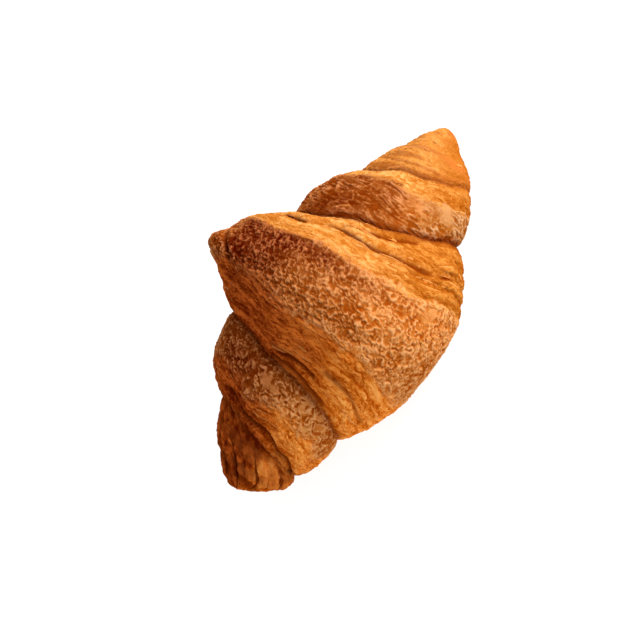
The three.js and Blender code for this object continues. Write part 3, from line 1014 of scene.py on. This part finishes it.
def flake_material():
    n = Nodes("thin_flake_finish")
    tone = n.noise(n.object_place(), scale=0.9, detail=3.0, rough=0.6)
    uneven = n.math("SUBTRACT", tone, 0.5)
    browned = n.math("MULTIPLY_ADD", uneven, UNEVEN_FLAKES, n.value("browned"), clamp=True)
    end = n.mix(n.value("side"), n.shade(browned, *LEFT_FLAKE), n.shade(browned, *RIGHT_FLAKE))
    root = n.shade(browned, *FLAKE_ROOT)
    n.put(n.shader.inputs["Base Color"], n.mix(n.ramp(n.value("free"), low=0.2, high=0.9), root, end))
    n.shader.inputs["Roughness"].default_value = 0.5
    n.shader.inputs["Specular IOR Level"].default_value = 0.03
    return n.material


def make_flakes(middle):
    made(flake_mesh("crust_flakes", middle), "crust_flakes", flake_material())


# The studio: camera, light and floor
ELEVATION = math.radians(45)
ROLL = math.radians(57.7)
DISTANCE = 560.0
LENS, SENSOR = 100.0, 36.0
AIM = (0.0, 3.55, 29.0)
AIM_PIXEL = (317.3, 292.0)  # where the aim point shows in the photo
FRAME_PIXELS = 640
CLIP_START, CLIP_END = 0.05, 10  # in metres, as are the light's and the floor's sizes
KEY_DIRECTION, KEY_DISTANCE, KEY_SIZE, KEY_POWER = (0.78, -0.31, 0.54), 0.9, 0.4, 9.7
KEY_AIM = (0, 0, 0.03)
FLOOR_REACH, FLOOR_HEIGHT = 3.0, -0.02 * MM
FLOOR_GREY, FLOOR_GLOW = 0.2, 0.92
WORLD_STRENGTH = 0.62


def camera_axes():
    right = Vector((1, 0, 0))
    back = Vector((0, -math.cos(ELEVATION), math.sin(ELEVATION)))
    up = back.cross(right)
    image_right = math.cos(ROLL) * right - math.sin(ROLL) * up
    image_up = math.sin(ROLL) * right + math.cos(ROLL) * up
    return image_right, image_up, back


def make_camera():
    image_right, image_up, back = camera_axes()
    data = bpy.data.cameras.new("camera")
    data.lens, data.sensor_width = LENS, SENSOR
    data.clip_start, data.clip_end = CLIP_START, CLIP_END
    pixel = SENSOR / LENS / FRAME_PIXELS * DISTANCE
    middle = FRAME_PIXELS / 2
    aim = Vector(AIM) - (AIM_PIXEL[0] - middle) * pixel * image_right
    aim = aim + (AIM_PIXEL[1] - middle) * pixel * image_up
    camera = bpy.data.objects.new("camera", data)
    turned = Matrix((image_right, image_up, back)).transposed()
    camera.matrix_world = Matrix.Translation((aim + back * DISTANCE) * MM) @ turned.to_4x4()
    bpy.context.scene.collection.objects.link(camera)
    bpy.context.scene.camera = camera


def make_key_light():
    data = bpy.data.lights.new("key", "AREA")
    data.shape = "DISK"
    data.size, data.energy = KEY_SIZE, KEY_POWER
    light = bpy.data.objects.new("key", data)
    direction = Vector(KEY_DIRECTION).normalized()
    light.location = Vector(KEY_AIM) + direction * KEY_DISTANCE
    light.rotation_mode = "QUATERNION"
    light.rotation_quaternion = direction.to_track_quat("Z", "Y")
    bpy.context.scene.collection.objects.link(light)


def make_floor():
    mesh = bpy.data.meshes.new("floor")
    reach = FLOOR_REACH
    corners = [(-reach, -reach, 0), (reach, -reach, 0), (reach, reach, 0), (-reach, reach, 0)]
    mesh.from_pydata(corners, [], [(0, 1, 2, 3)])
    floor = bpy.data.objects.new("floor", mesh)
    floor.location.z = FLOOR_HEIGHT
    bpy.context.scene.collection.objects.link(floor)
    n = Nodes("pale_floor")
    n.shader.inputs["Base Color"].default_value = (FLOOR_GREY, FLOOR_GREY, FLOOR_GREY, 1)
    n.shader.inputs["Roughness"].default_value = 0.9
    n.shader.inputs["Emission Color"].default_value = (1, 1, 1, 1)
    n.shader.inputs["Emission Strength"].default_value = FLOOR_GLOW
    mesh.materials.append(n.material)


def make_studio():
    world = bpy.data.worlds.new("studio")
    world.use_nodes = True
    background = world.node_tree.nodes["Background"]
    background.inputs["Color"].default_value = (1, 1, 1, 1)
    background.inputs["Strength"].default_value = WORLD_STRENGTH
    bpy.context.scene.world = world
    bpy.context.scene.view_settings.view_transform = "Standard"
    make_floor()
    make_key_light()


make_camera()
make_flakes(make_croissant())
make_studio()
